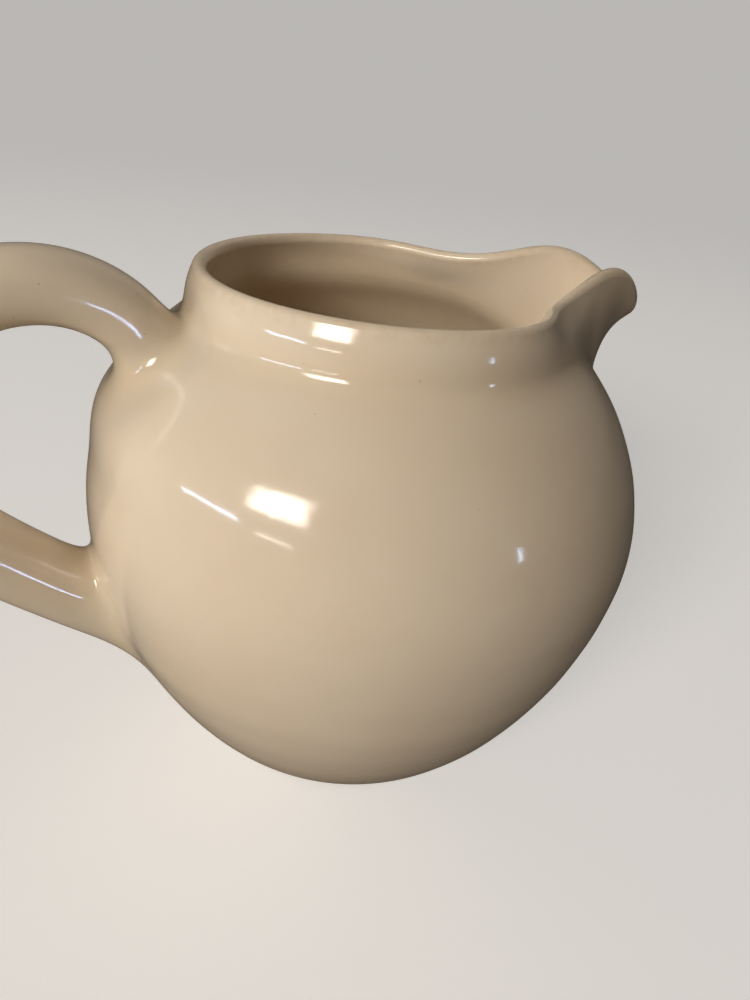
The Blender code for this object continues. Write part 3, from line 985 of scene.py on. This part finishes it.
def glaze_material():
    """A glossy cream glaze: cloudy, deeper where it pools and where shade is painted, warmer where
    it runs thin.
    """
    n = Surface("cream_glaze")
    cloud = n.remap(n.noise(22.0, 3.0, 0.55), 0.35, 0.65)
    mottle = n.remap(n.noise(160.0, 4.0, 0.6), 0.3, 0.7)
    base = n.mix(cloud, colour(0.785, 0.655, 0.500), colour(0.825, 0.715, 0.570))
    base = n.mix(n.math("MULTIPLY", mottle, 0.35), base, colour(0.800, 0.680, 0.520))
    # Pooled glaze and painted shade: darker and warmer in the crease, at the handle's roots and deep
    # inside the pot
    pooled_and_shaded = n.math("MULTIPLY", n.attribute("pool_and_shade"), 0.55)
    base = n.mix(pooled_and_shaded, base, colour(0.740, 0.595, 0.415))
    worn = n.remap(n.noise(420.0, 3.0, 0.6), 0.35, 0.7)
    edge = n.math("MULTIPLY", n.attribute("thin"), n.math("MULTIPLY", worn, 0.30))
    base = n.mix(edge, base, colour(0.640, 0.480, 0.320))
    cells = n.add("ShaderNodeTexVoronoi", {"Vector": n.place, "Scale": 210.0})
    speck = n.remap(cells.outputs["Distance"], 0.035, 0.075, 1.0, 0.0)
    chosen = n.math("GREATER_THAN", n.noise(75.0, 0.0), 0.60)
    speck = n.math("MULTIPLY", n.math("MULTIPLY", speck, chosen), 0.28)
    base = n.mix(speck, base, colour(0.36, 0.22, 0.12))
    rough = n.remap(n.noise(48.0, 4.0, 0.6), 0.3, 0.7, 0.07, 0.15)
    rough = n.math("ADD", rough, n.math("MULTIPLY", n.attribute("thin"), 0.06))
    peel = n.bump(n.noise(900.0, 2.0, 0.5), 0.10, 0.10 * MM)
    wash = n.bump(n.noise(120.0, 2.0, 0.45), 0.12, 0.6 * MM, peel)
    return n.finish(
        Base_Color=base,
        Roughness=rough,
        Normal=wash,
        IOR=1.5,
        Coat_Weight=0.35,
        Coat_Roughness=0.03,
        Subsurface_Weight=0.08,
        Subsurface_Radius=(0.004, 0.0028, 0.0018),
        Subsurface_Scale=1.0,
    )


def clay_material():
    """Bare fired clay: matt, sandy, with darker grains."""
    n = Surface("bare_clay")
    tone = n.remap(n.noise(60.0, 4.0, 0.6), 0.3, 0.7)
    base = n.mix(tone, colour(0.58, 0.46, 0.33), colour(0.70, 0.58, 0.44))
    grain = n.add("ShaderNodeTexVoronoi", {"Vector": n.place, "Scale": 900.0})
    dark = n.remap(grain.outputs["Distance"], 0.05, 0.25, 0.5, 0.0)
    base = n.mix(dark, base, colour(0.30, 0.21, 0.14))
    grit = n.bump(n.noise(1600.0, 3.0, 0.65), 0.5, 0.15 * MM)
    rough = n.remap(tone, 0.0, 1.0, 0.72, 0.88)
    return n.finish(Base_Color=base, Roughness=rough, Normal=grit, IOR=1.45)


def floor_material():
    """A plain pale studio floor, which fades into the backdrop, and lights the pitcher little."""
    n = Surface("studio_floor")
    seen = n.add("ShaderNodeLightPath").outputs["Is Camera Ray"]
    pale = n.mix(n.noise(3.0), colour(0.80, 0.785, 0.76), colour(0.83, 0.815, 0.79))
    away = n.add("ShaderNodeVectorMath", {0: n.place}, operation="LENGTH").outputs["Value"]
    far = n.remap(away, *FLOOR_FADE, interpolation_type="SMOOTHSTEP")
    black = colour(0.0, 0.0, 0.0)
    base = n.mix(seen, colour(0.30, 0.27, 0.24), n.mix(far, pale, black))
    glow = n.mix(seen, black, n.mix(far, colour(*FLOOR_GLOW), colour(*BACKDROP)))
    return n.finish(
        Base_Color=base,
        Roughness=0.85,
        Specular_IOR_Level=0.1,
        Emission_Color=glow,
        Emission_Strength=1.0,
    )


GLAZE = {"material": glaze_material(), "slot": "cream_glaze"}
CLAY = {"material": clay_material(), "slot": "bare_foot"}


# ---------------------------------------------------------------- floor, light and camera


def direction(azimuth, elevation):
    """Unit vector at an azimuth from -Y towards +X, and an elevation, in degrees."""
    a, e = math.radians(azimuth), math.radians(elevation)
    return Vector((math.sin(a) * math.cos(e), -math.cos(a) * math.cos(e), math.sin(e)))


LIGHT_TARGET = Vector((0, 0, EQUATOR))


def add_light(name, azimuth, elevation, distance, size, strength, tint):
    """A soft box that faces the pitcher. Strength is its brightness, whatever its size."""
    lamp = bpy.data.lights.new(name, "AREA")
    lamp.shape = "RECTANGLE"
    lamp.size, lamp.size_y = size
    lamp.energy = strength * size[0] * size[1]
    lamp.color = tint
    made = bpy.data.objects.new(name, lamp)
    bpy.context.scene.collection.objects.link(made)
    back = direction(azimuth, elevation)
    turn = back.to_track_quat("Z", "Y").to_matrix().to_4x4()
    made.matrix_world = Matrix.Translation(LIGHT_TARGET + back * distance) @ turn
    return made


def soften_light(made):
    """Fades a soft box out towards its edges, unevenly, like a window behind thin curtains."""
    n = Nodes(made.data)
    place = n.add("ShaderNodeNewGeometry").outputs["Parametric"]
    across = n.add("ShaderNodeSeparateXYZ", {0: place})
    noise = n.add("ShaderNodeTexNoise", {"Vector": place, "Scale": 3.0}).outputs["Fac"]
    glow = n.math("MULTIPLY", noise, 2.0)
    for axis in ("X", "Y"):
        for edge, full in ((0.0, 0.22), (1.0, 0.78)):
            share = n.remap(across.outputs[axis], edge, full, interpolation_type="SMOOTHSTEP")
            glow = n.math("MULTIPLY", glow, share)
    n.put(n.tree.nodes["Emission"].inputs["Strength"], glow)


def only_on(made, pieces):
    """Keeps a light off everything but some pieces."""
    lit = bpy.data.collections.new(made.name + "_lit")
    for piece in pieces:
        lit.objects.link(piece)
    made.light_linking.receiver_collection = lit


def add_floor():
    """A floor that runs on far past where it has faded into the backdrop."""
    mesh = bpy.data.meshes.new("floor")
    size = 60.0
    corners = [(-size, -size, 0), (size, -size, 0), (size, size, 0), (-size, size, 0)]
    mesh.from_pydata(corners, [], [(0, 1, 2, 3)])
    mesh.materials.append(floor_material())
    floor = bpy.data.objects.new("floor", mesh)
    bpy.context.scene.collection.objects.link(floor)


def add_world():
    """The floor's own tone for the camera, so it has no horizon, and a dim room for the glaze."""
    world = bpy.data.worlds.new("studio")
    bpy.context.scene.world = world
    n = Nodes(world)
    room = n.tree.nodes["Background"]
    n.put(room.inputs["Color"], colour(1.0, 0.87, 0.74))
    n.put(room.inputs["Strength"], 0.060)
    backdrop = n.add("ShaderNodeBackground", {"Color": colour(*BACKDROP)})
    seen = n.add("ShaderNodeLightPath").outputs["Is Camera Ray"]
    mix = n.add("ShaderNodeMixShader", {0: seen, 1: room.outputs[0], 2: backdrop.outputs[0]})
    n.put(n.tree.nodes["World Output"].inputs["Surface"], mix.outputs[0])


def add_lights():
    """A warm window, which lights the floor too, and the glints and fills of the pitcher alone.

    The fills have no reflection of their own, and the handle's streak is only a reflection.
    """
    warm, cool, pale = (1.0, 0.92, 0.81), (0.58, 0.74, 1.0), (1.0, 0.95, 0.88)
    soften_light(add_light("window", -52.5, 25.0, 2.40, (1.08, 0.76), 60.0, warm))
    glints = (
        add_light("strip", -77, 8.8, 1.20, (0.50, 0.040), 60.0, cool),
        add_light("strip_tail", -52, 6.5, 1.20, (0.26, 0.034), 30.0, warm),
        add_light("glint", 36.5, 6, 1.20, (0.035, 0.13), 40.0, cool),
    )
    fills = (
        add_light("left_fill", -90, 6, 1.40, (1.0, 0.8), 10.2, (1.0, 0.91, 0.79)),
        add_light("top_fill", -80, 58, 1.60, (1.2, 1.2), 1.1, pale),
        add_light("far_fill", 145, 25, 1.60, (1.2, 1.2), 11.0, pale),
    )
    for made in glints + fills:
        only_on(made, PIECES)
    for fill in fills:
        fill.visible_glossy = False
    streak = add_light("handle_streak", 8, -9, 0.40, (0.16, 0.024), 58.0, (0.50, 0.64, 1.0))
    streak.visible_camera = streak.visible_diffuse = False
    only_on(streak, [piece for piece in PIECES if "handle" in piece.name])


def add_camera():
    """Looks down at the pitcher from the handle's side, close, with a slight roll."""
    aim = Vector((2.5, -3.4, 75.8)) * MM
    back = direction(-27.1, 29.2)
    camera = bpy.data.objects.new("camera", bpy.data.cameras.new("camera"))
    bpy.context.scene.collection.objects.link(camera)
    camera.data.lens = 27.04
    camera.data.sensor_width = 36.0
    camera.data.clip_start = 0.01
    turn = back.to_track_quat("Z", "Y").to_matrix().to_4x4()
    roll = Matrix.Rotation(math.radians(7.27), 4, "Z")
    camera.matrix_world = Matrix.Translation(aim + back * 215.5 * MM) @ turn @ roll
    bpy.context.scene.camera = camera


def main():
    """Makes the seven pieces, then the studio round them."""
    vessel = Vessel()
    make_foot(vessel)
    make_belly(vessel)
    around = np.arange(len(vessel.angles))
    make_rim_piece(vessel, "spout", around[: SPOUT_COLUMNS + 1])
    make_rim_piece(vessel, "collar", np.append(around[SPOUT_COLUMNS:], 0))
    make_handle()
    make_pad("upper_handle_pad", UPPER)
    make_pad("lower_handle_pad", LOWER)
    add_floor()
    add_world()
    add_lights()
    add_camera()
    bpy.context.scene.view_settings.view_transform = "Standard"


main()
